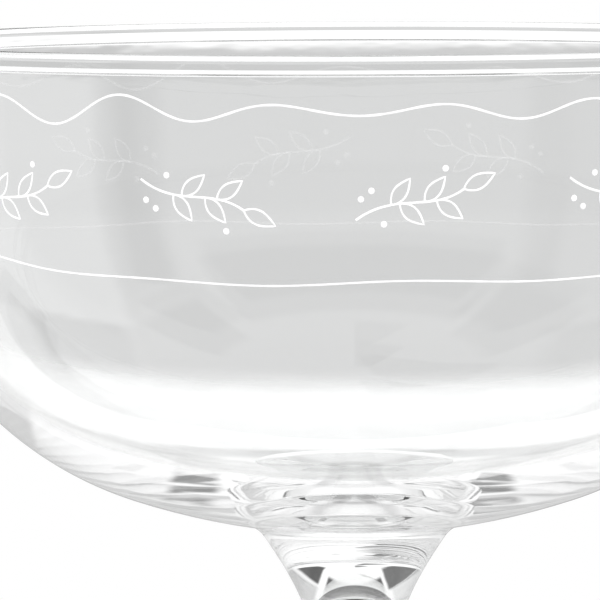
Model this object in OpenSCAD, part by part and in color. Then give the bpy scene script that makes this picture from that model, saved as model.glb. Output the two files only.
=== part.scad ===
// Coupe glass: a thin blown bowl, a drawn stem and a pressed foot, sealed end to end while hot.
// Every piece is turned about the Z axis. The origin is the middle of the foot on the table, +Z up.

/* [Overall] */
// Height from the table to the top of the rim
total_h = 140; // [130:1:180]

/* [Bowl] */
// Outside diameter at the rim
rim_d = 96; // [88:1:100]
// Outside depth of the bowl, from its lowest point to the top of the rim
bowl_depth = 49.5; // [47:0.5:56]
// Outside radius of the shallow arc under the bowl
base_arc_r = 71; // [66:1:76]
// Slope at which the shallow arc gives way to the shoulder, in degrees
base_arc_deg = 18.5; // [17:0.5:20]
// Lean of the upper wall away from the vertical, in degrees
wall_lean_deg = 3; // [2:0.5:4.5]
// Glass thickness in the middle of the bowl
base_t = 3.3; // [3:0.1:3.6]
// Glass thickness where the shoulder begins
shoulder_t = 2.7; // [2.5:0.1:3]
// Glass thickness of the upper wall
wall_t = 1.2; // [0.9:0.1:1.6]

/* [Rim] */
// Height of the fire-polished bead along the rim
bead_h = 2; // [1.5:0.1:2.6]
// How far the bead stands out from each face of the wall
bead_proud = 0.22; // [0.1:0.02:0.4]
// Height over which the wall swells into the bead
bead_neck_h = 0.5; // [0.3:0.05:0.7]
// Height of the rounded top of the bead
bead_cap_h = 0.8; // [0.5:0.05:0.8]

/* [Stem] */
// Diameter at which the stem's side, run straight on, would meet the bowl
head_d = 19.5; // [16:0.3:24]
// Radius of the blend between the stem's side and the bowl
blend_r = 3; // [2:0.1:4]
// Angle at which that blend meets the bowl, in degrees
blend_end_deg = 12; // [10:1:20]
// Diameter of the stem at its waist
waist_d = 7.6; // [6:0.2:9.4]
// Length of the flare from the bowl down to the waist
upper_flare_h = 20; // [16:0.5:23]
// Lean of the stem's side under the bowl, from the vertical, in degrees
flare_deg = 34.5; // [30:0.5:38]
// Length of the flare from the waist down to the foot
lower_flare_h = 32; // [24:0.5:37]

/* [Foot] */
// Diameter of the foot
foot_d = 70; // [56:1:84]
// Thickness at the rounded edge of the foot
edge_t = 1.8; // [1.4:0.1:2.4]
// Diameter of the seal between the stem and the foot
boss_d = 14; // [11:0.5:17]
// Height of that seal above the table
boss_h = 6.4; // [5:0.1:7]
// Slope of the glass across that seal, from the level, in degrees
boss_deg = 40; // [32:1:50]
// Width of the flat ring on which the glass stands
rest_ring_w = 2.6; // [1.8:0.1:4]
// Rise of the hollow under the foot
kick_h = 1.6; // [1:0.1:2]

/* [Hidden] */
$fn = 180;

// Steps along each stretch of an outline
seat_steps = 6;
blend_steps = 8;
arc_steps = 8;
shoulder_steps = 36;
neck_steps = 6;
cap_steps = 16;
flare_steps = 28;
foot_steps = 30;
edge_steps = 12;
kick_steps = 16;

// Control points of the stem's flares, as shares of a flare's spread or of its length
upper_spread_share = 0.95;
upper_waist_share = 0.45;
lower_waist_share = 0.45;
lower_spread_share = 0.6;
// Control points of the foot's upper face, as shares of its rise or of its width
foot_root_share = 0.6;
foot_flat_share = 0.6;
foot_fall_share = 0.28;

rim_r = rim_d / 2;
head_r = head_d / 2;
waist_r = waist_d / 2;
foot_r = foot_d / 2;
boss_r = boss_d / 2;
edge_r = edge_t / 2;
ring_r = foot_r - edge_r - rest_ring_w;
bead_t = wall_t + 2 * bead_proud;
bowl_z = total_h - bowl_depth;
neck_z = bowl_depth - bead_h;

// Where the stem's side would meet the shallow arc under the bowl, from the bowl's lowest point
head = [head_r, base_arc_r * (1 - cos(asin(head_r / base_arc_r)))];
side_down = [-sin(flare_deg), -cos(flare_deg)];
side_out = [cos(flare_deg), -sin(flare_deg)];

// The blend's circle touches the stem's side and crosses that arc at blend_end_deg
blend_from = head + blend_r * side_out - [0, base_arc_r];
blend_reach = sqrt(pow(base_arc_r, 2) + pow(blend_r, 2) + 2 * base_arc_r * blend_r * cos(blend_end_deg));
blend_drop = sqrt(pow(blend_from * side_down, 2) - blend_from * blend_from + pow(blend_reach, 2))
    - blend_from * side_down;
blend_start = head + blend_drop * side_down;
blend_centre = blend_start + blend_r * side_out;
blend_start_deg = 180 - flare_deg;
blend_stop_deg = 90 + atan(blend_centre[0] / (base_arc_r - blend_centre[1]))
    + acos((pow(blend_reach, 2) + pow(blend_r, 2) - pow(base_arc_r, 2)) / (2 * blend_reach * blend_r));

// The stem's seat is a cap of the shallow arc, out to the end of the blend
seat_r = blend_centre[0] + blend_r * cos(blend_stop_deg);
seat_arc_deg = asin(seat_r / base_arc_r);

// The arc in the bottom of the bowl, from the glass thicknesses at its middle and at its end
inner_arc_end = [0, base_arc_r] + (base_arc_r - shoulder_t) * [sin(base_arc_deg), -cos(base_arc_deg)];
inner_arc_rise = inner_arc_end[1] - base_t;
inner_arc_r = (pow(inner_arc_end[0], 2) + pow(inner_arc_rise, 2)) / (2 * inner_arc_rise);
inner_arc_deg = asin(inner_arc_end[0] / inner_arc_r);

glass = [0.85, 0.88, 0.88, 0.45];

// Points of an arc about a centre
function arc(centre, r, from_deg, to_deg, steps) =
    [for (i = [0:steps])
        let (a = from_deg + (to_deg - from_deg) * i / steps)
        centre + r * [cos(a), sin(a)]];

// Points of a cubic curve with four control points
function curve(p, steps) =
    [for (i = [0:steps])
        let (t = i / steps, u = 1 - t)
        u * u * u * p[0] + 3 * u * u * t * p[1] + 3 * u * t * t * p[2] + t * t * t * p[3]];

// A list without its first point, to follow on from another list
function onward(points) = [for (i = [1:len(points) - 1]) points[i]];

function reversed(points) = [for (i = [len(points) - 1:-1:0]) points[i]];

function lifted(points, h) = [for (p = points) [p[0], p[1] + h]];

// Eases from 0 to 1, level at both ends
function eased(t) = t * t * (3 - 2 * t);

// Radius of a shoulder that runs on from an arc of radius r and slope deg, centred above the axis,
// to a straight wall that leans by wall_lean_deg and ends at [end_r, end_z]
function shoulder_r(end_r, end_z, r, deg) =
    let (
        out = end_r - r * sin(deg),
        up = end_z - r * (1 - cos(deg)),
        arc_out = cos(wall_lean_deg) - sin(deg),
        arc_up = cos(deg) - sin(wall_lean_deg)
    )
    (out * cos(wall_lean_deg) - up * sin(wall_lean_deg))
        / (arc_out * cos(wall_lean_deg) - arc_up * sin(wall_lean_deg));

// One face of the bowl from the axis up to the neck of the bead: a shallow arc, a shoulder
// tangent to it, and the straight wall
function bowl_face(end_r, end_z, r, deg, steps) =
    let (
        turn_r = shoulder_r(end_r, end_z, r, deg),
        turn_centre = [0, r] + (r - turn_r) * [sin(deg), -cos(deg)]
    )
    concat(
        arc([0, r], r, -90, deg - 90, steps),
        onward(arc(turn_centre, turn_r, deg - 90, -wall_lean_deg, shoulder_steps)),
        [[end_r, end_z]]
    );

// The seal under the bowl, from the axis outwards
function seat_line() = arc([0, base_arc_r], base_arc_r, -90, seat_arc_deg - 90, seat_steps);

// The outside of the bowl: the seal, then the rest of its face
function outer_line() =
    concat(
        seat_line(),
        [for (p = bowl_face(rim_r - bead_proud, neck_z, base_arc_r, base_arc_deg, arc_steps))
            if (p[0] > seat_r) p]
    );

// The inside of the bowl
function inner_line() =
    lifted(
        bowl_face(
            rim_r - bead_proud - wall_t, neck_z - base_t,
            inner_arc_r, inner_arc_deg, arc_steps
        ),
        base_t
    );

// One side of the bead, 1 for outside and -1 for inside: it runs on from the leaning wall,
// swells by bead_proud and ends upright
function bead_side(side) =
    [for (i = [1:neck_steps])
        let (swell = eased(i / neck_steps), up = bead_neck_h * i / neck_steps)
        [side * (wall_t / 2 + bead_proud * swell) + up * tan(wall_lean_deg) * (1 - swell), neck_z + up]];

// The bead: its two sides, joined by a rounded cap
function bead_line() =
    let (
        cap = [for (i = [0:cap_steps])
            [bead_t / 2 * cos(180 * i / cap_steps), bead_cap_h * sin(180 * i / cap_steps)]],
        middle_r = rim_r - bead_t / 2
    )
    concat(
        [for (p = bead_side(1)) p + [middle_r, 0]],
        [for (p = cap) p + [middle_r, bowl_depth - bead_cap_h]],
        [for (p = reversed(bead_side(-1))) p + [middle_r, 0]]
    );

// The blend from the bowl to the stem's side
function blend_line() =
    arc(blend_centre, blend_r, blend_stop_deg, blend_start_deg, blend_steps);

// The stem's side from its blend to its waist, which is upper_flare_h below the head
function upper_flare() =
    let (
        spread = upper_spread_share * (blend_start[0] - waist_r),
        waist_at = head[1] - upper_flare_h
    )
    curve([
        blend_start,
        blend_start - [spread, spread / tan(flare_deg)],
        [waist_r, waist_at + upper_waist_share * upper_flare_h],
        [waist_r, waist_at]
    ], flare_steps);

// The stem's side from its waist to the foot
function lower_flare() =
    let (spread = lower_spread_share * (boss_r - waist_r))
    curve([
        [waist_r, boss_h + lower_flare_h],
        [waist_r, boss_h + (1 - lower_waist_share) * lower_flare_h],
        [boss_r - spread, boss_h + spread * tan(boss_deg)],
        [boss_r, boss_h]
    ], flare_steps);

// The upper face of the foot, from the seal to the rounded edge
function foot_top() =
    let (
        edge_at = foot_r - edge_r,
        rise = boss_h - edge_t,
        fall = foot_root_share * rise
    )
    curve([
        [boss_r, boss_h],
        [boss_r + fall / tan(boss_deg), boss_h - fall],
        [edge_at - foot_flat_share * (edge_at - boss_r), edge_t + foot_fall_share * rise],
        [edge_at, edge_t]
    ], foot_steps);

// The hollow under the foot, from the ring to the axis, level in the middle
function kick_line() =
    [for (i = [0:kick_steps])
        [ring_r * (1 - i / kick_steps), kick_h * eased(i / kick_steps)]];

module turned(points) {
    rotate_extrude() polygon(points);
}

module bowl() {
    color(glass)
        translate([0, 0, bowl_z])
            turned(concat(outer_line(), bead_line(), reversed(inner_line())));
}

module stem() {
    color(glass)
        turned(concat(
            lifted(concat(seat_line(), onward(blend_line()), onward(upper_flare())), bowl_z),
            lower_flare(),
            [[0, boss_h]]
        ));
}

module foot() {
    color(glass)
        turned(concat(
            [[0, boss_h]],
            foot_top(),
            onward(arc([foot_r - edge_r, edge_r], edge_r, 90, -90, edge_steps)),
            kick_line()
        ));
}

bowl();
stem();
foot();
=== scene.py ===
"""Looks of the coupe glass: a bowl, a stem and a foot of clear glass, and the engraving round the bowl.

Every object is in metres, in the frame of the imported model: +Z is up, the axis of the glass is the Z
axis, and the origin is under the middle of the foot. The camera stands on the -Y side.
"""

import logging
import math
from dataclasses import dataclass, field
from enum import Enum
from typing import Callable

import bpy
from mathutils import Matrix, Vector


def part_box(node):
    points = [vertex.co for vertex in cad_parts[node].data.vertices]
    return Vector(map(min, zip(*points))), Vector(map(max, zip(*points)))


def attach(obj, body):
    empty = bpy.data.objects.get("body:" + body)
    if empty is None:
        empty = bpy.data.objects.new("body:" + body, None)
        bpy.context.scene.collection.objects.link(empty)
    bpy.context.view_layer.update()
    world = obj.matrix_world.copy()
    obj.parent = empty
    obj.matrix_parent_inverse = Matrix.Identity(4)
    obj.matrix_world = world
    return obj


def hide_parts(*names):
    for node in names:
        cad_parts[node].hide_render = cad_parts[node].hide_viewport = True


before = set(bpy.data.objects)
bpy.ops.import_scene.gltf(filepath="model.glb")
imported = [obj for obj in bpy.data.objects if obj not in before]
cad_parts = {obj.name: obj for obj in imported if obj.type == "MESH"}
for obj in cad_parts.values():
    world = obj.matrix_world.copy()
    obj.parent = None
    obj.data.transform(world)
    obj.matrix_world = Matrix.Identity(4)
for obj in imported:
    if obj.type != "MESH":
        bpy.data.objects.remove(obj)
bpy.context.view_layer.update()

LOG = logging.getLogger("coupe")
MM = 0.001
QUARTER = math.pi / 2
NEAR = 0.01 * MM
SAME_POINT = 1e-9
# How far a face's normal points up where the face is level, and anywhere on the stem's shallow head
LEVEL = 0.99
NEARLY_LEVEL = 0.9
BODY = "root"

Point = tuple[float, float]


class Side(Enum):
    """Which side of an engraved stroke a finish is for."""

    OUTSIDE = "outside"
    THROUGH_GLASS = "through_glass"


class Group(Enum):
    """Names of the shared shader groups."""

    HAND_WORKED = "hand_worked_ripple"
    GROUND_GRAIN = "ground_glass_grain"


def clear_selection() -> None:
    """Leaves object mode's selection empty, so that an operator acts on new work alone."""
    bpy.ops.object.select_all(action="DESELECT")


def pick(*pieces: bpy.types.Object) -> None:
    """Selects these pieces alone, and makes the first of them the active one."""
    clear_selection()
    for piece in pieces:
        piece.select_set(True)
    bpy.context.view_layer.objects.active = pieces[0]


def eased(t: float) -> float:
    """Goes from 0 to 1 with t, level at both ends."""
    return t * t * (3 - 2 * t)


@dataclass
class Outline:
    """The line that a piece is turned from: the radius and height of each of its points, in metres."""

    points: list[Point] = field(default_factory=list)

    def to(self, radius: float, height: float) -> "Outline":
        """Adds one point, unless the line already ends there.

        Args:
            radius: Distance from the axis.
            height: Height above the table.

        Returns:
            The outline, to go on with.
        """
        if not self.points or math.dist(self.points[-1], (radius, height)) > SAME_POINT:
            self.points.append((radius, height))
        return self

    def arc(self, centre: Point, radius: float, start: float, end: float, steps: int) -> "Outline":
        """Adds a round stretch.

        Args:
            centre: Centre of the arc.
            radius: Radius of the arc.
            start: Angle of its first point, in radians from level.
            end: Angle of its last point.
            steps: Number of straight steps.

        Returns:
            The outline, to go on with.
        """
        for i in range(steps + 1):
            angle = start + (end - start) * i / steps
            self.to(centre[0] + radius * math.cos(angle), centre[1] + radius * math.sin(angle))
        return self

    def curve(self, controls: list[Point], steps: int) -> "Outline":
        """Adds a cubic curve.

        Args:
            controls: Its four control points.
            steps: Number of straight steps.

        Returns:
            The outline, to go on with.
        """
        for i in range(steps + 1):
            t = i / steps
            u = 1 - t
            shares = (u * u * u, 3 * u * u * t, 3 * u * t * t, t * t * t)
            self.to(
                sum(s * p[0] for s, p in zip(shares, controls)),
                sum(s * p[1] for s, p in zip(shares, controls)),
            )
        return self

    def follow(self, points: list[Point]) -> "Outline":
        """Adds each of the points in turn and returns the outline."""
        for radius, height in points:
            self.to(radius, height)
        return self


@dataclass(frozen=True)
class Lathe:
    """Turns an outline about the Z axis into a closed piece of glass."""

    segments: int = 192
    weld: float = 0.002 * MM
    crease: float = math.radians(38)

    def draw(self, name: str, points: list[Vector]) -> bpy.types.Object:
        """Draws a chain of edges, from a plane merged to one vertex that is extruded along the points.

        Args:
            name: Name of the new object.
            points: Where the chain goes.

        Returns:
            The object, in object mode and active.
        """
        clear_selection()
        bpy.ops.mesh.primitive_plane_add(size=MM, location=(0, 0, 0))
        piece = bpy.context.active_object
        piece.name = name
        bpy.ops.object.mode_set(mode="EDIT")
        bpy.ops.mesh.merge(type="CENTER")
        bpy.ops.transform.translate(value=points[0])
        for before, after in zip(points, points[1:]):
            bpy.ops.mesh.extrude_vertices_move(TRANSFORM_OT_translate={"value": after - before})
        bpy.ops.object.mode_set(mode="OBJECT")
        return piece

    def turn(self, name: str, outline: Outline) -> bpy.types.Object:
        """Spins an outline that starts and ends on the axis.

        Args:
            name: Name of the new piece.
            outline: The line to turn.

        Returns:
            The piece, closed at both poles, with its faces pointing outwards.
        """
        piece = self.draw(name, [Vector((r, 0, z)) for r, z in outline.points])
        bpy.ops.object.mode_set(mode="EDIT")
        bpy.ops.mesh.select_all(action="SELECT")
        bpy.ops.mesh.spin(steps=self.segments, angle=math.tau, center=(0, 0, 0), axis=(0, 0, 1))
        bpy.ops.mesh.select_all(action="SELECT")
        bpy.ops.mesh.remove_doubles(threshold=self.weld)
        bpy.ops.mesh.normals_make_consistent(inside=False)
        bpy.ops.object.mode_set(mode="OBJECT")
        bpy.ops.object.shade_smooth_by_angle(angle=self.crease)
        return piece


class ShaderGraph:
    """A short way to add and join nodes in one node tree."""

    def __init__(self, tree: bpy.types.NodeTree) -> None:
        """Empties the tree and takes it over."""
        self.tree = tree
        tree.nodes.clear()

    def add(self, kind: str, settings: dict | None = None, **inputs: object) -> bpy.types.Node:
        """Adds a node.

        Args:
            kind: The node's Blender type.
            settings: Properties of the node.
            **inputs: Values or sockets for its inputs, by name with underscores for spaces.

        Returns:
            The new node.
        """
        node = self.tree.nodes.new(kind)
        for key, value in (settings or {}).items():
            setattr(node, key, value)
        for key, value in inputs.items():
            self.feed(node.inputs[key.replace("_", " ")], value)
        return node

    def feed(self, socket: bpy.types.NodeSocket, value: object) -> None:
        """Links a socket to another, or sets its value."""
        if isinstance(value, bpy.types.NodeSocket):
            self.tree.links.new(value, socket)
        else:
            socket.default_value = value

    def math(self, operation: str, *values: object) -> bpy.types.NodeSocket:
        """Adds a Math node.

        Args:
            operation: Name of the operation.
            *values: Its numbers or sockets, in order.

        Returns:
            The result's socket.
        """
        node = self.add("ShaderNodeMath", {"operation": operation})
        for socket, value in zip(node.inputs, values):
            self.feed(socket, value)
        return node.outputs[0]

    def ramp(
        self, value: object, low: float, high: float, start: float, end: float
    ) -> bpy.types.NodeSocket:
        """Maps a number smoothly from one range to another.

        Args:
            value: The number or its socket.
            low: Where the change starts.
            high: Where it ends.
            start: Result up to low.
            end: Result from high.

        Returns:
            The result's socket.
        """
        node = self.add("ShaderNodeMapRange", {"interpolation_type": "SMOOTHSTEP"})
        for key, number in (
            ("Value", value), ("From Min", low), ("From Max", high), ("To Min", start), ("To Max", end)
        ):
            self.feed(node.inputs[key], number)
        return node.outputs["Result"]

    def grey(self, value: bpy.types.NodeSocket) -> bpy.types.NodeSocket:
        """Makes a grey of a brightness and returns the colour's socket."""
        node = self.add("ShaderNodeCombineColor")
        for channel in node.inputs:
            self.feed(channel, value)
        return node.outputs["Color"]

    def blend(self, share: object, first: object, second: object) -> bpy.types.NodeSocket:
        """Mixes two numbers.

        Args:
            share: Share of the second number.
            first: The first number or its socket.
            second: The second number or its socket.

        Returns:
            The result's socket.
        """
        node = self.add("ShaderNodeMix", {"data_type": "FLOAT"}, Factor=share)
        self.feed(node.inputs[2], first)
        self.feed(node.inputs[3], second)
        return node.outputs[0]


def new_material(name: str) -> tuple[bpy.types.Material, ShaderGraph]:
    """Starts a finish.

    Args:
        name: Name of the material.

    Returns:
        The material, and the empty graph of its nodes.
    """
    material = bpy.data.materials.new(name)
    material.use_nodes = True
    return material, ShaderGraph(material.node_tree)


def object_point(graph: ShaderGraph, stretch: tuple[float, float, float]) -> bpy.types.NodeSocket:
    """Gives the place on a piece, stretched along its axes.

    Args:
        graph: The node tree to add to.
        stretch: How much finer the pattern is along X, Y and Z.

    Returns:
        The vector's socket.
    """
    place = graph.add("ShaderNodeTexCoord")
    mapping = graph.add("ShaderNodeMapping", Vector=place.outputs["Object"], Scale=stretch)
    return mapping.outputs["Vector"]


def hand_worked_group() -> bpy.types.NodeTree:
    """Builds the shallow ripple of glass that was blown and turned by hand.

    Returns:
        A group with a Vector and a Strength in, and a Height out.
    """
    tree = bpy.data.node_groups.new(Group.HAND_WORKED.value, "ShaderNodeTree")
    tree.interface.new_socket("Vector", in_out="INPUT", socket_type="NodeSocketVector")
    tree.interface.new_socket("Strength", in_out="INPUT", socket_type="NodeSocketFloat")
    tree.interface.new_socket("Height", in_out="OUTPUT", socket_type="NodeSocketFloat")
    graph = ShaderGraph(tree)
    given = graph.add("NodeGroupInput")
    swell = graph.add("ShaderNodeTexNoise", Vector=given.outputs["Vector"], Scale=34.0, Detail=1.0)
    cord = graph.add("ShaderNodeTexNoise", Vector=given.outputs["Vector"], Scale=140.0, Detail=1.5)
    mixed = graph.math("MULTIPLY_ADD", cord.outputs["Fac"], 0.3, swell.outputs["Fac"])
    height = graph.math("MULTIPLY", mixed, given.outputs["Strength"])
    graph.add("NodeGroupOutput", Height=height)
    return tree


def ground_grain_group() -> bpy.types.NodeTree:
    """Builds the fine matt grain that an engraver's wheel leaves.

    Returns:
        A group with a Vector in, and a Whiteness, a Roughness and a Height out.
    """
    tree = bpy.data.node_groups.new(Group.GROUND_GRAIN.value, "ShaderNodeTree")
    tree.interface.new_socket("Vector", in_out="INPUT", socket_type="NodeSocketVector")
    for name in ("Whiteness", "Roughness", "Height"):
        tree.interface.new_socket(name, in_out="OUTPUT", socket_type="NodeSocketFloat")
    graph = ShaderGraph(tree)
    given = graph.add("NodeGroupInput")
    grain = graph.add("ShaderNodeTexNoise", Vector=given.outputs["Vector"], Scale=9000.0, Detail=2.0)
    patch = graph.add("ShaderNodeTexNoise", Vector=given.outputs["Vector"], Scale=900.0, Detail=1.0)
    white = graph.ramp(patch.outputs["Fac"], 0.3, 0.6, 0.9, 1.0)
    rough = graph.ramp(grain.outputs["Fac"], 0.35, 0.65, 0.55, 0.8)
    graph.add("NodeGroupOutput", Whiteness=white, Roughness=rough, Height=grain.outputs["Fac"])
    return tree


def place_group(graph: ShaderGraph, group: Group) -> bpy.types.Node:
    """Places a shared group in a material, building it the first time.

    Args:
        graph: The material's nodes.
        group: Which group.

    Returns:
        The group's node.
    """
    makers: dict[Group, Callable[[], bpy.types.NodeTree]] = {
        Group.HAND_WORKED: hand_worked_group,
        Group.GROUND_GRAIN: ground_grain_group,
    }
    tree = bpy.data.node_groups.get(group.value) or makers[group]()
    return graph.add("ShaderNodeGroup", {"node_tree": tree})


@dataclass(frozen=True)
class ClearGlass:
    """Fire-polished clear glass with a trace of hand-worked ripple, and painted shade at its outline."""

    name: str
    tint: tuple[float, float, float, float] = (0.99, 0.994, 0.993, 1.0)
    # Painted shade: the glass's colour turns grey where it is seen edge-on, which draws its outline
    outline_painted_shade: tuple[float, float, float, float] = (0.78, 0.785, 0.785, 1.0)
    outline_shade_reach: tuple[float, float] = (0.76, 0.94)
    ior: float = 1.51
    ripple: float = 1.0
    wall_ripple: float = 0.45
    calm_height: tuple[float, float] = (0.1, 0.118)
    ripple_depth: float = 0.02 * MM
    stretch: tuple[float, float, float] = (1.0, 1.0, 3.0)
    smear_stretch: tuple[float, float, float] = (1.0, 1.0, 0.4)
    smear_reach: tuple[float, float] = (0.5, 0.8)
    smear_rough: float = 0.02
    shade: tuple[float, float, float, float] = (0.94, 0.945, 0.945, 1.0)

    def material(self) -> bpy.types.Material:
        """Builds the finish.

        Returns:
            The material: a Principled shader, with plain shade instead for rays from lamps.
        """
        material, graph = new_material(self.name)
        ripple = place_group(graph, Group.HAND_WORKED)
        graph.feed(ripple.inputs["Vector"], object_point(graph, self.stretch))
        parts = graph.add("ShaderNodeSeparateXYZ", Vector=object_point(graph, (1.0, 1.0, 1.0)))
        calm = graph.ramp(parts.outputs["Z"], *self.calm_height, self.ripple, self.wall_ripple)
        graph.feed(ripple.inputs["Strength"], calm)
        bump = graph.add(
            "ShaderNodeBump", Height=ripple.outputs["Height"], Strength=1.0, Distance=self.ripple_depth
        )
        smear = graph.add(
            "ShaderNodeTexNoise", Vector=object_point(graph, self.smear_stretch), Scale=60.0, Detail=3.0
        )
        rough = graph.ramp(smear.outputs["Fac"], *self.smear_reach, 0.0, self.smear_rough)
        # Painted shade along the outline: the colour greys where a face is seen edge-on
        facing = graph.add("ShaderNodeLayerWeight", Blend=0.5)
        edge = graph.ramp(facing.outputs["Facing"], *self.outline_shade_reach, 0.0, 1.0)
        color = graph.add("ShaderNodeMix", {"data_type": "RGBA"}, Factor=edge)
        graph.feed(color.inputs[6], self.tint)
        graph.feed(color.inputs[7], self.outline_painted_shade)
        glass = graph.add(
            "ShaderNodeBsdfPrincipled",
            Base_Color=color.outputs[2], Metallic=0.0, IOR=self.ior, Transmission_Weight=1.0,
            Roughness=rough, Normal=bump.outputs["Normal"],
        )
        path = graph.add("ShaderNodeLightPath")
        clear = graph.add("ShaderNodeBsdfTransparent", Color=self.shade)
        mix = graph.add("ShaderNodeMixShader", Fac=path.outputs["Is Shadow Ray"])
        graph.feed(mix.inputs[1], glass.outputs[0])
        graph.feed(mix.inputs[2], clear.outputs[0])
        graph.add("ShaderNodeOutputMaterial", Surface=mix.outputs[0])
        return material


@dataclass(frozen=True)
class FusedSeal:
    """The faces where two pieces are fused: nothing shows there, because the glass runs on."""

    name: str = "fused_seal"

    def material(self) -> bpy.types.Material:
        """Builds the finish and returns the material."""
        material, graph = new_material(self.name)
        clear = graph.add("ShaderNodeBsdfTransparent", Color=(1.0, 1.0, 1.0, 1.0))
        graph.add("ShaderNodeOutputMaterial", Surface=clear.outputs[0])
        return material


@dataclass(frozen=True)
class GroundWhite:
    """Matt white engraving, whose inner side shows faintly through the glass, and which glows a little as
    painted light.
    """

    name: str
    side: Side
    alphas: dict[Side, float] = field(
        default_factory=lambda: {Side.OUTSIDE: 1.0, Side.THROUGH_GLASS: 0.12}
    )
    # Painted light: how strongly each side of a stroke glows, though it is no lamp
    painted_glows: dict[Side, float] = field(
        default_factory=lambda: {Side.OUTSIDE: 0.25, Side.THROUGH_GLASS: 0.3}
    )
    grain_depth: float = 0.01 * MM

    def material(self) -> bpy.types.Material:
        """Builds the finish and returns the material."""
        material, graph = new_material(self.name)
        grain = place_group(graph, Group.GROUND_GRAIN)
        graph.feed(grain.inputs["Vector"], object_point(graph, (1.0, 1.0, 1.0)))
        bump = graph.add(
            "ShaderNodeBump", Height=grain.outputs["Height"], Strength=0.5, Distance=self.grain_depth
        )
        white = graph.grey(grain.outputs["Whiteness"])
        facing = graph.add("ShaderNodeNewGeometry")
        shown = graph.math("SUBTRACT", 1.0, facing.outputs["Backfacing"])
        matt = graph.add(
            "ShaderNodeBsdfPrincipled",
            Base_Color=white, Metallic=0.0, Roughness=grain.outputs["Roughness"],
            Normal=bump.outputs["Normal"], Alpha=graph.math("MULTIPLY", shown, self.alphas[self.side]),
            # Painted glow, which makes the white brighter than its lamps light it
            Emission_Color=white, Emission_Strength=self.painted_glows[self.side],
        )
        graph.add("ShaderNodeOutputMaterial", Surface=matt.outputs[0])
        return material


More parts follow.
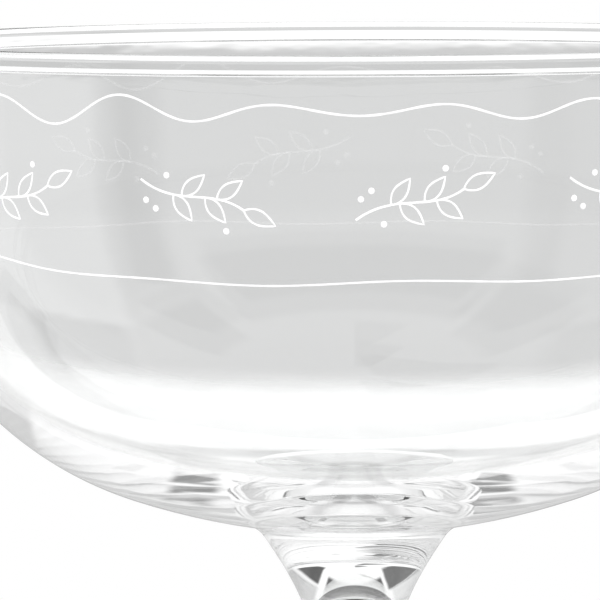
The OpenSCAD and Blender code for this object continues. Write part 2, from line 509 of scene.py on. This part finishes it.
@dataclass
class Bowl:
    """The blown bowl: shallow arc, shoulder, near-upright wall and the bead round the rim."""

    base_arc_radius: float = 71 * MM
    base_arc_slope: float = math.radians(18.5)
    wall_lean: float = math.radians(3)
    base_thickness: float = 3.3 * MM
    shoulder_thickness: float = 2.7 * MM
    wall_thickness: float = 1.2 * MM
    bead_height: float = 2.0 * MM
    bead_proud: float = 0.22 * MM
    bead_neck: float = 0.5 * MM
    bead_cap: float = 0.8 * MM
    seat_margin: float = 0.1 * MM
    arc_steps: int = 12
    shoulder_steps: int = 56
    wall_steps: int = 22
    neck_steps: int = 14
    cap_steps: int = 36
    bead_side_steps: int = 6

    def __post_init__(self) -> None:
        """Takes the bowl's place and reach from the frame."""
        low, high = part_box("bowl")
        self.bottom = low.z
        self.top = high.z
        self.rim_radius = high.x
        self.seat_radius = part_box("stem")[1].x
        self.neck_height = self.top - self.bead_height

    def face(self, end: Point, foot: float, radius: float, slope: float) -> Outline:
        """Draws one face of the bowl, from the axis to the neck of the bead.

        Args:
            end: Radius and height of its upper end.
            foot: Height of its lowest point.
            radius: Radius of the shallow arc.
            slope: Slope at the end of that arc, in radians.

        Returns:
            The face's outline, upwards.
        """
        out = end[0] - radius * math.sin(slope)
        rise = end[1] - foot - radius * (1 - math.cos(slope))
        arc_out = math.cos(self.wall_lean) - math.sin(slope)
        arc_up = math.cos(slope) - math.sin(self.wall_lean)
        turn = (out * math.cos(self.wall_lean) - rise * math.sin(self.wall_lean)) / (
            arc_out * math.cos(self.wall_lean) - arc_up * math.sin(self.wall_lean)
        )
        centre = (
            (radius - turn) * math.sin(slope),
            foot + radius - (radius - turn) * math.cos(slope),
        )
        line = Outline().arc((0.0, foot + radius), radius, -QUARTER, slope - QUARTER, self.arc_steps)
        line.arc(centre, turn, slope - QUARTER, -self.wall_lean, self.shoulder_steps)
        start = line.points[-1]
        for i in range(1, self.wall_steps + 1):
            share = eased(i / self.wall_steps)
            line.to(start[0] + (end[0] - start[0]) * share, start[1] + (end[1] - start[1]) * share)
        return line

    def seat(self) -> Outline:
        """Draws the underside that the stem is fused to, from the axis outwards."""
        reach = math.asin(self.seat_radius / self.base_arc_radius)
        centre = (0.0, self.bottom + self.base_arc_radius)
        return Outline().arc(centre, self.base_arc_radius, -QUARTER, reach - QUARTER, self.arc_steps)

    def outer(self) -> Outline:
        """Draws the outside, from the axis to the neck of the bead."""
        end = (self.rim_radius - self.bead_proud, self.neck_height)
        face = self.face(end, self.bottom, self.base_arc_radius, self.base_arc_slope)
        line = self.seat()
        return line.follow([p for p in face.points if p[0] > self.seat_radius + self.seat_margin])

    def inner(self) -> Outline:
        """Draws the inside, from the axis to the neck of the bead."""
        thin = self.base_arc_radius - self.shoulder_thickness
        reach = thin * math.sin(self.base_arc_slope)
        rise = self.base_arc_radius - thin * math.cos(self.base_arc_slope) - self.base_thickness
        radius = (reach * reach + rise * rise) / (2 * rise)
        end = (self.rim_radius - self.bead_proud - self.wall_thickness, self.neck_height)
        return self.face(end, self.bottom + self.base_thickness, radius, math.asin(reach / radius))

    def bead(self) -> Outline:
        """Draws the bead, from its outer neck over the rim to its inner neck."""
        thick = self.wall_thickness + 2 * self.bead_proud
        middle = self.rim_radius - thick / 2
        line = Outline().follow([(middle + out, up) for out, up in self.bead_side(1)])
        for i in range(self.cap_steps + 1):
            angle = math.pi * i / self.cap_steps
            line.to(
                middle + thick / 2 * math.cos(angle),
                self.top - self.bead_cap + self.bead_cap * math.sin(angle),
            )
        return line.follow([(middle - out, up) for out, up in reversed(self.bead_side(-1))])

    def bead_side(self, lean_sign: int) -> list[Point]:
        """Draws one side of the bead, which swells out of the leaning wall and then stands upright.

        Args:
            lean_sign: 1 where the wall leans out of the glass, -1 where it leans into it.

        Returns:
            Distances from the middle of the wall's thickness, and heights, upwards.
        """
        lean = lean_sign * math.tan(self.wall_lean)
        points = []
        for i in range(1, self.neck_steps + 1):
            share = eased(i / self.neck_steps)
            up = self.bead_neck * i / self.neck_steps
            out = self.bead_proud * share + lean * up * (1 - share)
            points.append((self.wall_thickness / 2 + out, self.neck_height + up))
        out, foot = points[-1]
        rise = self.top - self.bead_cap - foot
        for i in range(1, self.bead_side_steps):
            points.append((out, foot + rise * eased(i / self.bead_side_steps)))
        return points

    def wall_radius(self, height: float) -> float:
        """Gives the outside radius of the bowl at a height.

        Args:
            height: Height above the table, between the bowl's bottom and its bead.

        Returns:
            The radius there.
        """
        points = self.outer().points
        for (r0, z0), (r1, z1) in zip(points, points[1:]):
            if z0 <= height <= z1 and z1 > z0:
                return r0 + (r1 - r0) * (height - z0) / (z1 - z0)
        return points[-1][0]

    def build(self, lathe: Lathe) -> bpy.types.Object:
        """Turns the bowl and returns the piece."""
        line = self.outer()
        line.follow(self.bead().points)
        line.follow(list(reversed(self.inner().points)))
        piece = lathe.turn("bowl_glass", line)
        dress(piece, ClearGlass("bowl_clear_glass"), self.is_seat)
        return piece

    def is_seat(self, centre: Vector, normal: Vector) -> bool:
        """Says whether a face with this centre and normal is fused to the stem."""
        under = centre.z < self.bottom + self.base_thickness / 2
        return under and normal.z < 0 and math.hypot(centre.x, centre.y) < self.seat_radius


@dataclass
class Stem:
    """The drawn stem, blended into the bowl and flared out to the foot."""

    bowl: Bowl
    head_radius: float = 9.75 * MM
    blend_radius: float = 3.0 * MM
    blend_end: float = math.radians(12)
    waist_radius: float = 3.8 * MM
    upper_flare: float = 20 * MM
    flare_lean: float = math.radians(34.5)
    upper_spread_share: float = 0.95
    upper_waist_share: float = 0.45
    lower_flare: float = 32 * MM
    foot_slope: float = math.radians(40)
    lower_waist_share: float = 0.45
    lower_spread_share: float = 0.6
    blend_steps: int = 14
    flare_steps: int = 56

    def __post_init__(self) -> None:
        """Takes the stem's ends from the frame."""
        low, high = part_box("stem")
        self.bottom = low.z
        self.seat_radius = high.x
        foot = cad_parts["foot"].data.vertices
        self.boss_radius = max(v.co.x for v in foot if v.co.z > self.bottom - NEAR)

    def build(self, lathe: Lathe) -> bpy.types.Object:
        """Turns the stem and returns the piece."""
        line = self.bowl.seat()
        head, start = self.blend(line)
        spread = self.upper_spread_share * (start.x - self.waist_radius)
        waist = head.y - self.upper_flare
        line.curve([
            (start.x, start.y),
            (start.x - spread, start.y - spread / math.tan(self.flare_lean)),
            (self.waist_radius, waist + self.upper_waist_share * self.upper_flare),
            (self.waist_radius, waist),
        ], self.flare_steps)
        spread = self.lower_spread_share * (self.boss_radius - self.waist_radius)
        line.curve([
            (self.waist_radius, self.bottom + self.lower_flare),
            (self.waist_radius, self.bottom + (1 - self.lower_waist_share) * self.lower_flare),
            (self.boss_radius - spread, self.bottom + spread * math.tan(self.foot_slope)),
            (self.boss_radius, self.bottom),
        ], self.flare_steps)
        line.to(0.0, self.bottom)
        piece = lathe.turn("stem_glass", line)
        # The stem's painted outline shade reaches further in from its edges
        dress(piece, ClearGlass("stem_clear_glass", outline_shade_reach=(0.45, 0.8)), self.is_seal)
        return piece

    def blend(self, line: Outline) -> tuple[Vector, Vector]:
        """Adds the blend between the bowl's underside and the stem's side.

        Args:
            line: The stem's outline so far, which ends at the edge of its seat.

        Returns:
            Where the side, run straight on, would meet the bowl, and where it leaves the blend.
        """
        arc = self.bowl.base_arc_radius
        middle = Vector((0, self.bowl.bottom + arc))
        lean = self.flare_lean
        head = middle + Vector((self.head_radius, -math.sqrt(arc ** 2 - self.head_radius ** 2)))
        down = Vector((-math.sin(lean), -math.cos(lean)))
        out = Vector((math.cos(lean), -math.sin(lean)))
        away = head + self.blend_radius * out - middle
        reach = math.sqrt(
            arc ** 2 + self.blend_radius ** 2 + 2 * arc * self.blend_radius * math.cos(self.blend_end)
        )
        drop = math.sqrt(away.dot(down) ** 2 - away.dot(away) + reach ** 2) - away.dot(down)
        start = head + drop * down
        centre = start + self.blend_radius * out
        cross = (reach ** 2 + self.blend_radius ** 2 - arc ** 2) / (2 * reach * self.blend_radius)
        stop = QUARTER + math.atan(centre.x / (middle.y - centre.y)) + math.acos(cross)
        line.arc((centre.x, centre.y), self.blend_radius, stop, math.pi - lean, self.blend_steps)
        return head, start

    def is_seal(self, centre: Vector, normal: Vector) -> bool:
        """Says whether a face with this centre and normal is fused to the bowl or to the foot."""
        inside = math.hypot(centre.x, centre.y) < self.seat_radius
        head = inside and normal.z > NEARLY_LEVEL and centre.z > self.bowl.bottom - NEAR
        tail = normal.z < -LEVEL and centre.z < self.bottom + NEAR
        return head or tail


@dataclass
class Foot:
    """The pressed foot: domed top, rounded edge, flat rest ring and the hollow beneath."""

    stem: Stem
    edge_thickness: float = 1.8 * MM
    ring_width: float = 2.6 * MM
    kick_height: float = 1.6 * MM
    root_share: float = 0.6
    flat_share: float = 0.6
    fall_share: float = 0.28
    top_steps: int = 44
    edge_steps: int = 20
    kick_steps: int = 24

    def __post_init__(self) -> None:
        """Takes the foot's reach from the frame."""
        low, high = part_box("foot")
        self.bottom = low.z
        self.top = high.z
        self.radius = high.x

    def build(self, lathe: Lathe) -> bpy.types.Object:
        """Turns the foot and returns the piece."""
        half = self.edge_thickness / 2
        boss = self.stem.boss_radius
        edge = self.radius - half
        flat = self.bottom + self.edge_thickness
        rise = self.top - flat
        fall = self.root_share * rise
        line = Outline().to(0.0, self.top)
        line.curve([
            (boss, self.top),
            (boss + fall / math.tan(self.stem.foot_slope), self.top - fall),
            (edge - self.flat_share * (edge - boss), flat + self.fall_share * rise),
            (edge, flat),
        ], self.top_steps)
        line.arc((edge, self.bottom + half), half, QUARTER, -QUARTER, self.edge_steps)
        ring = edge - self.ring_width
        for i in range(self.kick_steps + 1):
            share = i / self.kick_steps
            line.to(ring * (1 - share), self.bottom + self.kick_height * eased(share))
        piece = lathe.turn("foot_glass", line)
        dress(piece, ClearGlass("foot_clear_glass"), self.is_seal)
        return piece

    def is_seal(self, centre: Vector, normal: Vector) -> bool:
        """Says whether a face with this centre and normal is fused to the stem."""
        return normal.z > LEVEL and centre.z > self.top - NEAR


def dress(
    piece: bpy.types.Object, glass: ClearGlass, is_seal: Callable[[Vector, Vector], bool]
) -> None:
    """Gives a turned piece its glass, and its fused faces the seal's finish.

    Args:
        piece: The piece.
        glass: Finish of its open faces.
        is_seal: Says of a face's centre and normal whether the face is fused to a neighbour.
    """
    piece.data.materials.append(glass.material())
    piece.data.materials.append(bpy.data.materials.get(FusedSeal().name) or FusedSeal().material())
    paint_faces(piece, 1, is_seal)


def paint_faces(
    piece: bpy.types.Object, index: int, chosen: Callable[[Vector, Vector], bool]
) -> None:
    """Assigns one of a piece's materials to the faces that are chosen by place and normal.

    Args:
        piece: The piece, in object mode.
        index: Which of its material slots.
        chosen: Says of a face's centre and normal whether it is one of them.
    """
    pick(piece)
    bpy.ops.object.mode_set(mode="EDIT")
    bpy.ops.mesh.select_mode(type="FACE")
    bpy.ops.mesh.select_all(action="DESELECT")
    bpy.ops.object.mode_set(mode="OBJECT")
    for face in piece.data.polygons:
        face.select = chosen(face.center, face.normal)
    bpy.ops.object.mode_set(mode="EDIT")
    piece.active_material_index = index
    bpy.ops.object.material_slot_assign()
    bpy.ops.mesh.select_mode(type="VERT")
    bpy.ops.object.mode_set(mode="OBJECT")


@dataclass(frozen=True)
class Wave:
    """A wave that runs a whole number of times round the bowl."""

    count: int
    size: float
    phase: float

    def at(self, angle: float) -> float:
        """Gives the wave's height at an angle in radians."""
        return self.size * math.sin(self.count * angle + self.phase)


@dataclass
class Engraving:
    """Thin matt lines on the outside of the bowl: two waved borders with leafy sprigs between them.

    A stroke is drawn flat first, with X along the wall, Y up it and Z out of it, and then laid round it.
    """

    bowl: Bowl
    lathe: Lathe
    line_width: float = 0.23 * MM
    fine_width: float = 0.20 * MM
    line_thickness: float = 0.05 * MM
    waver: float = 0.12
    waver_rates: tuple[float, float] = (0.9, 0.37)
    border_steps: int = 720
    upper_drop: float = 5.3 * MM
    upper_wave: Wave = Wave(19, 0.85 * MM, 4.6)
    upper_swells: tuple[Wave, ...] = (Wave(6, 0.45, 5.17), Wave(3, 0.35, 3.37))
    lower_drop: float = 21.7 * MM
    lower_waves: tuple[Wave, ...] = (Wave(11, 0.2 * MM, 0.5), Wave(4, 0.16 * MM, -1.0))
    lower_climb: float = 2.1 * MM
    lower_climb_at: float = -0.95
    lower_climb_narrowness: int = 60
    sprig_drop: float = 13.8 * MM
    sprigs: int = 14
    first_sprig: float = 0.3
    twig: tuple[Point, ...] = ((-6.4, -1.9), (-2.6, 0.9), (0.8, -1.3), (4.0, 1.0))
    twig_steps: int = 26
    leaf_places: tuple[tuple[float, int], ...] = ((0.3, 1), (0.42, -1), (0.62, 1), (0.76, -1))
    leaf_lean: float = 0.8
    leaf_size: tuple[float, float] = (3.1 * MM, 1.3 * MM)
    tip_lean: float = 0.45
    tip_size: tuple[float, float] = (3.4 * MM, 1.4 * MM)
    leaf_fullness: float = 0.85
    leaf_steps: int = 14
    berries: tuple[Point, ...] = ((-5.9, 0.1), (-4.9, 0.9), (-3.7, -2.3), (2.2, 3.0))
    berry_radius: float = 0.32 * MM

    def __post_init__(self) -> None:
        """Builds the two finishes of a stroke."""
        self.outside = GroundWhite("engraved_white", Side.OUTSIDE).material()
        self.through = GroundWhite("engraved_white_through_glass", Side.THROUGH_GLASS).material()

    def stroke(self, name: str, points: list[Point], width: float) -> bpy.types.Object:
        """Draws one flat stroke along points.

        Args:
            name: Name of the stroke.
            points: Where it goes, flat, in metres.
            width: Its mean width.

        Returns:
            A round line of about that width, in the flat.
        """
        piece = self.lathe.draw(name, [Vector((x, y, 0)) for x, y in points])
        bpy.ops.object.convert(target="CURVE")
        curve = piece.data
        curve.bevel_depth = width / 2
        curve.bevel_resolution = 2
        curve.use_fill_caps = True
        quick, slow = self.waver_rates
        for spline in curve.splines:
            count = len(spline.points)
            for i, point in enumerate(spline.points):
                point.radius = 1 + self.waver * math.sin(quick * i) * math.sin(slow * i + count)
        bpy.ops.object.convert(target="MESH")
        return piece

    def lay(self, piece: bpy.types.Object, angle: float, drop: float) -> bpy.types.Object:
        """Lays a flat drawing round the bowl.

        Args:
            piece: The flat drawing, whose place and turn are already in its mesh.
            angle: Where its middle goes, in radians to the right of the camera's side.
            drop: How far its middle lies under the rim.

        Returns:
            The piece, thin and close to the wall.
        """
        middle = self.bowl.top - drop
        around = self.bowl.wall_radius(middle)
        flatten = self.line_thickness / self.line_width
        for vertex in piece.data.vertices:
            x, y, z = vertex.co
            height = middle + y
            radius = self.bowl.wall_radius(height) + z * flatten
            turn = angle + x / around
            vertex.co = (radius * math.sin(turn), -radius * math.cos(turn), height)
        piece.data.update()
        return piece

    def finish(self, piece: bpy.types.Object) -> bpy.types.Object:
        """Smooths a laid stroke, turns its faces outwards and paints its two sides."""
        pick(piece)
        bpy.ops.object.mode_set(mode="EDIT")
        bpy.ops.mesh.select_all(action="SELECT")
        bpy.ops.mesh.normals_make_consistent(inside=False)
        bpy.ops.object.mode_set(mode="OBJECT")
        bpy.ops.object.shade_smooth()
        piece.data.materials.append(self.outside)
        piece.data.materials.append(self.through)
        paint_faces(piece, 1, lambda centre, normal: centre.x * normal.x + centre.y * normal.y < 0)
        return piece

    def border(
        self, name: str, drop: float, wave: Callable[[float], float], width: float
    ) -> bpy.types.Object:
        """Draws one border all round the bowl.

        Args:
            name: Name of the border.
            drop: How far it lies under the rim.
            wave: Gives its height above its own middle at an angle in radians.
            width: Its mean width.

        Returns:
            The finished border.
        """
        around = self.bowl.wall_radius(self.bowl.top - drop)
        angles = [math.tau * i / self.border_steps - math.pi for i in range(self.border_steps + 1)]
        piece = self.stroke(name, [(around * a, wave(a)) for a in angles], width)
        return self.finish(self.lay(piece, 0.0, drop))

    def leaf(self, root: Point, angle: float, size: tuple[float, float]) -> bpy.types.Object:
        """Draws the outline of a pointed leaf, which is widest a little before its middle.

        Args:
            root: Where it grows from.
            angle: Which way it points, in radians.
            size: Its length and its greatest width.

        Returns:
            The flat stroke, from the leaf's root round it and back.
        """
        length, width = size
        shares = [i / self.leaf_steps for i in range(self.leaf_steps + 1)]
        sides = [(s, 1) for s in shares] + [(1 - s, -1) for s in shares]
        turn = Matrix.Rotation(angle, 2)
        points = []
        for along, side in sides:
            swell = math.sin(math.pi * along ** self.leaf_fullness)
            point = Vector(root) + turn @ Vector((length * along, side * width / 2 * swell))
            points.append((point.x, point.y))
        return self.stroke("leaf", points, self.fine_width)

    def sprig(self, rising: bool) -> bpy.types.Object:
        """Draws one flat sprig: a bent twig with leaves in pairs, a leaf at its tip and small berries.

        Args:
            rising: Whether the twig climbs to the right. The other kind is its mirror image.

        Returns:
            The flat drawing.
        """
        twig = Outline().curve([(x * MM, y * MM) for x, y in self.twig], self.twig_steps).points
        strokes = [self.stroke("twig", twig, self.line_width)]
        for share, side in self.leaf_places:
            i = round(share * (len(twig) - 2))
            root = twig[i]
            heading = math.atan2(twig[i + 1][1] - root[1], twig[i + 1][0] - root[0])
            strokes.append(self.leaf(root, heading + side * self.leaf_lean, self.leaf_size))
        strokes.append(self.leaf(twig[-1], self.tip_lean, self.tip_size))
        for x, y in self.berries:
            bpy.ops.mesh.primitive_uv_sphere_add(
                segments=12, ring_count=8, radius=self.berry_radius, location=(x * MM, y * MM, 0)
            )
            berry = bpy.context.active_object
            bpy.ops.object.transform_apply(location=True, rotation=True, scale=True)
            strokes.append(berry)
        pick(*strokes)
        bpy.ops.object.join()
        piece = bpy.context.active_object
        if not rising:
            for vertex in piece.data.vertices:
                vertex.co.y = -vertex.co.y
            piece.data.update()
        return piece

    def build(self) -> list[bpy.types.Object]:
        """Engraves the bowl.

        Returns:
            The two borders and the sprigs.
        """
        pieces = [
            self.border("engraved_upper_border", self.upper_drop, self.upper_line, self.line_width),
            self.border("engraved_lower_border", self.lower_drop, self.lower_line, self.fine_width),
        ]
        models = [self.sprig(True), self.sprig(False)]
        for i in range(self.sprigs):
            pick(models[i % 2])
            bpy.ops.object.duplicate(linked=False)
            piece = bpy.context.active_object
            piece.name = f"engraved_sprig_{i + 1:02d}"
            self.lay(piece, math.tau * (i + self.first_sprig) / self.sprigs, self.sprig_drop)
            pieces.append(self.finish(piece))
        for model in models:
            bpy.data.objects.remove(model)
        return pieces

    def upper_line(self, angle: float) -> float:
        """Gives the upper border's height at an angle: a wave whose size swells and shrinks."""
        return self.upper_wave.at(angle) * (1 + sum(swell.at(angle) for swell in self.upper_swells))

    def lower_line(self, angle: float) -> float:
        """Gives the lower border's height at an angle, with the climb where its two ends meet."""
        near = 0.5 + 0.5 * math.cos(angle - self.lower_climb_at)
        climb = self.lower_climb * near ** self.lower_climb_narrowness
        return climb + sum(wave.at(angle) for wave in self.lower_waves)


@dataclass(frozen=True)
class Zone:
    """One part of the surroundings that the glass shows: a panel, a gap between panels or the dim room.

    Angles are in degrees: across from straight behind the glass, right positive, and up from level.
    """

    brightness: float
    across: tuple[float, float]
    up: tuple[float, float]
    edge: float = 2.0
    both_sides: bool = False

    def band(
        self, graph: ShaderGraph, angle: bpy.types.NodeSocket, reach: tuple[float, float]
    ) -> bpy.types.NodeSocket:
        """Builds a soft-edged mask for one of the two angles.

        Args:
            graph: The world's nodes.
            angle: The angle's socket, in degrees.
            reach: Where the band starts and ends.

        Returns:
            The mask's socket, 1 inside the band.
        """
        half = self.edge / 2
        into = graph.ramp(angle, reach[0] - half, reach[0] + half, 0.0, 1.0)
        out = graph.ramp(angle, reach[1] - half, reach[1] + half, 1.0, 0.0)
        return graph.math("MULTIPLY", into, out)

    def lay_over(
        self, graph: ShaderGraph, below: object, across: bpy.types.NodeSocket, up: bpy.types.NodeSocket
    ) -> bpy.types.NodeSocket:
        """Puts this zone in front of what is there already.

        Args:
            graph: The world's nodes.
            below: Brightness without the zone, a number or a socket.
            across: Angle across, in degrees.
            up: Angle up, in degrees.

        Returns:
            Brightness with the zone.
        """
        side = graph.math("ABSOLUTE", across) if self.both_sides else across
        mask = graph.math("MULTIPLY", self.band(graph, side, self.across), self.band(graph, up, self.up))
        return graph.blend(mask, below, self.brightness)


# Ends of a zone that runs right down, or right round to the camera's side
LOW = -91.0
ROUND = 181.0
ZONES = (
    Zone(0.69, (-1.0, ROUND), (LOW, -2.10), edge=0.14, both_sides=True),
    Zone(0.78, (-40.0, -1.95), (LOW, -2.10), edge=0.25),
    Zone(0.63, (-1.75, -1.3), (-6.2, -2.10), edge=0.25),
    Zone(0.65, (1.75, 2.12), (-6.2, -2.10), edge=0.25),
    Zone(0.60, (-1.0, 60.0), (-2.27, -2.09), edge=0.08, both_sides=True),
    Zone(0.655, (-3.75, -1.95), (-11.2, -8.0), edge=0.5),
    Zone(0.88, (-60.0, -4.0), (-14.0, -8.1), edge=0.6),
    Zone(0.635, (2.3, 60.0), (-14.0, -7.9), edge=0.5),
    Zone(0.66, (15.0, ROUND), (LOW, 0.8), edge=1.0, both_sides=True),
    Zone(0.02, (-1.0, 60.0), (22.8, 34.5), edge=1.2, both_sides=True),
    Zone(0.20, (23.0, 32.0), (3.5, 15.0), edge=3.0),
    Zone(0.20, (-26.0, -16.0), (3.5, 15.0), edge=3.0),
    Zone(0.66, (78.0, 123.0), (0.0, 46.0), edge=6.0),
    Zone(0.84, (-123.0, -78.0), (0.0, 46.0), edge=6.0),
    Zone(0.08, (92.0, 122.0), (49.0, 66.0), edge=4.0),
    Zone(0.15, (-127.0, -90.0), (44.0, 66.0), edge=5.0),
    Zone(0.10, (132.0, ROUND), (36.0, 61.0), edge=4.0, both_sides=True),
    Zone(0.22, (-52.0, -11.0), (64.0, 86.5), edge=3.0),
    Zone(0.22, (-179.0, -140.0), (75.0, 86.5), edge=3.0),
)


@dataclass(frozen=True)
class ShadeStep:
    """A soft change, going outwards, in the painted shade that sets how bright the table looks through
    the glass.

    A step that is only behind has its full size straight behind the glass, and fades to the sides.
    """

    change: float
    reach: tuple[float, float]
    only_behind: bool = False


# Painted shade, seen only through the glass: the foot's shadow, darkest in a ring just past its edge, and
# a darker strip far behind
PAINTED_SHADE_UNDER_FOOT = 0.84
PAINTED_TABLE_SHADE_STEPS = (
    ShadeStep(-0.44, (30 * MM, 38 * MM)),
    ShadeStep(0.32, (45 * MM, 60 * MM)),
    ShadeStep(0.28, (85 * MM, 115 * MM)),
    ShadeStep(-0.42, (256 * MM, 268 * MM), only_behind=True),
    ShadeStep(0.42, (276 * MM, 290 * MM), only_behind=True),
)


@dataclass
class Studio:
    """A pale table top in front of a pale sweep, with panels and gaps round it for the glass to show."""

    table_radius: float = 0.62
    table_fade: float = 0.22
    table_drop: float = 0.02 * MM
    table_rough: float = 0.6
    table_glow: float = 0.1
    # Painted glow that the glass alone shows on the table behind it
    table_painted_glow: float = 0.3
    table_pale: tuple[float, float] = (0.9, 0.93)
    behind: tuple[float, float] = (14.0, 26.0)
    mirrored: float = 0.68
    panel: float = 1.12
    all_round: float = 0.9
    lamp_watts: float = 2.0
    lamp_size: float = 0.8
    lamp_place: tuple[float, float, float] = (-0.35, -0.25, 1.3)

    def build(self) -> None:
        """Sets up the table, the world and the lamp."""
        self.table()
        self.world()
        self.lamp()

    def table(self) -> None:
        """Lays the table top."""
        clear_selection()
        bpy.ops.mesh.primitive_circle_add(
            vertices=96, radius=self.table_radius, fill_type="NGON", location=(0, 0, -self.table_drop)
        )
        table = bpy.context.active_object
        table.name = "table_top"
        table.data.materials.append(self.table_material())

    def table_material(self) -> bpy.types.Material:
        """Builds the pale table, with painted shade and glow that only the glass shows: shadow rings
        round the foot, a strip far behind.

        Returns:
            The material.
        """
        material, graph = new_material("pale_table")
        place = graph.add("ShaderNodeTexCoord").outputs["Object"]
        path = graph.add("ShaderNodeLightPath")
        away = graph.add("ShaderNodeVectorMath", {"operation": "LENGTH"}, Vector=place).outputs["Value"]
        shown = graph.ramp(away, self.table_radius - self.table_fade, self.table_radius, 1.0, 0.0)
        parts = graph.add("ShaderNodeSeparateXYZ", Vector=place)
        aside = graph.math("ARCTAN2", graph.math("ABSOLUTE", parts.outputs["X"]), parts.outputs["Y"])
        behind = graph.ramp(graph.math("DEGREES", aside), *self.behind, 1.0, 0.0)
        # Painted shade, as the glass shows the table; camera rays see the table plain
        shade: object = PAINTED_SHADE_UNDER_FOOT
        for step in PAINTED_TABLE_SHADE_STEPS:
            change = graph.ramp(away, *step.reach, 0.0, step.change)
            if step.only_behind:
                change = graph.math("MULTIPLY", change, behind)
            shade = graph.math("ADD", shade, change)
        grain = graph.add("ShaderNodeTexNoise", Vector=place, Scale=20.0, Detail=4.0)
        pale = graph.ramp(grain.outputs["Fac"], 0.3, 0.7, *self.table_pale)
        through = path.outputs["Is Transmission Ray"]
        painted_shade_factor = graph.math("MULTIPLY", graph.blend(through, 1.0, shade), self.mirror_dim(graph, path))
        # Painted glow, for rays through the glass towards the table behind it
        painted_glow = graph.math("MULTIPLY", graph.math("MULTIPLY", through, behind), self.table_painted_glow)
        glow = graph.math("MULTIPLY", graph.math("ADD", painted_glow, self.table_glow), painted_shade_factor)
        top = graph.add(
            "ShaderNodeBsdfPrincipled",
            Base_Color=graph.grey(graph.math("MULTIPLY", pale, painted_shade_factor)), Roughness=self.table_rough,
            Emission_Color=(1.0, 1.0, 1.0, 1.0), Emission_Strength=glow, Alpha=shown,
        )
        graph.add("ShaderNodeOutputMaterial", Surface=top.outputs[0])
        return material

    def mirror_dim(self, graph: ShaderGraph, path: bpy.types.Node) -> bpy.types.NodeSocket:
        """Dims what the glass only mirrors, which draws its outline.

        A refracted ray counts as glossy as well as transmitted, so a mirrored one is glossy alone.

        Args:
            graph: The table's or the world's nodes.
            path: Its Light Path node.

        Returns:
            The factor's socket, 1 for all other rays.
        """
        seen = graph.math("SUBTRACT", path.outputs["Is Glossy Ray"], path.outputs["Is Transmission Ray"])
        return graph.blend(graph.math("GREATER_THAN", seen, 0.5), 1.0, self.mirrored)

    def world(self) -> None:
        """Paints the surroundings: white for the camera, zones for the glass, even light for the rest."""
        world = bpy.data.worlds.new("studio")
        bpy.context.scene.world = world
        world.use_nodes = True
        graph = ShaderGraph(world.node_tree)
        path = graph.add("ShaderNodeLightPath")
        place = graph.add("ShaderNodeTexCoord")
        parts = graph.add("ShaderNodeSeparateXYZ", Vector=place.outputs["Generated"])
        up = graph.math("DEGREES", graph.math("ARCSINE", parts.outputs["Z"]))
        across = graph.math("DEGREES", graph.math("ARCTAN2", parts.outputs["X"], parts.outputs["Y"]))
        panels: object = self.panel
        for zone in ZONES:
            panels = zone.lay_over(graph, panels, across, up)
        panels = graph.math("MULTIPLY", panels, self.mirror_dim(graph, path))
        seen = graph.math("MAXIMUM", path.outputs["Is Glossy Ray"], path.outputs["Is Transmission Ray"])
        shown = graph.blend(seen, self.all_round, panels)
        strength = graph.blend(path.outputs["Is Camera Ray"], shown, 1.0)
        light = graph.add("ShaderNodeBackground", Color=(1.0, 1.0, 1.0, 1.0), Strength=strength)
        graph.add("ShaderNodeOutputWorld", Surface=light.outputs[0])

    def lamp(self) -> None:
        """Hangs the soft lamp that gives the foot its shadow."""
        clear_selection()
        bpy.ops.object.light_add(type="AREA", location=self.lamp_place)
        lamp = bpy.context.active_object
        lamp.name = "soft_lamp"
        lamp.data.size = self.lamp_size
        lamp.data.energy = self.lamp_watts
        lamp.rotation_euler = (-Vector(self.lamp_place)).to_track_quat("-Z", "Y").to_euler()
        lamp.visible_glossy = False
        lamp.visible_transmission = False


@dataclass(frozen=True)
class Bounces:
    """How far light is followed: thick glass passes it on by many reflections inside."""

    total: int = 64
    glossy: int = 60
    transmission: int = 32
    transparent: int = 32

    def allow(self) -> None:
        """Sets the limits."""
        cycles = bpy.context.scene.cycles
        cycles.max_bounces = self.total
        cycles.glossy_bounces = self.glossy
        cycles.transmission_bounces = self.transmission
        cycles.transparent_max_bounces = self.transparent


@dataclass(frozen=True)
class Camera:
    """The photograph's view: a long lens from a metre away, a little above the rim."""

    distance: float = 1.0
    height: float = 175.49 * MM
    aside: float = -5.38 * MM
    pitch: float = math.radians(3.529)
    roll: float = math.radians(-0.216)
    focal_px: float = 10032
    frame_px: float = 600
    sensor: float = 36

    def build(self) -> None:
        """Sets up the camera and makes it the scene's own."""
        clear_selection()
        bpy.ops.object.camera_add()
        camera = bpy.context.active_object
        camera.name = "photo_view"
        camera.data.sensor_width = self.sensor
        camera.data.lens = self.focal_px * self.sensor / self.frame_px
        place = Matrix.Translation((self.aside, -self.distance, self.height))
        tilt = Matrix.Rotation(math.pi / 2 - self.pitch, 4, "X")
        camera.matrix_world = place @ tilt @ Matrix.Rotation(self.roll, 4, "Z")
        bpy.context.scene.camera = camera


def ride(piece: bpy.types.Object, *nodes: str) -> None:
    """Joins a finished piece to the frame.

    Args:
        piece: The piece.
        *nodes: Names of the CAD nodes that it stands for.
    """
    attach(piece, BODY)
    if nodes:
        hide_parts(*nodes)
    LOG.info("%s: %d faces, stands for %s", piece.name, len(piece.data.polygons), nodes or "nothing")


def main() -> None:
    """Builds the glass piece by piece, then the studio and the camera."""
    logging.basicConfig(level=logging.INFO, format="%(name)s: %(message)s")
    bpy.context.scene.view_settings.view_transform = "Standard"
    Bounces().allow()
    lathe = Lathe()
    bowl = Bowl()
    stem = Stem(bowl)
    foot = Foot(stem)
    ride(bowl.build(lathe), "bowl")
    ride(stem.build(lathe), "stem")
    ride(foot.build(lathe), "foot")
    for piece in Engraving(bowl, lathe).build():
        ride(piece)
    Studio().build()
    Camera().build()


if __name__ == "__main__":
    main()
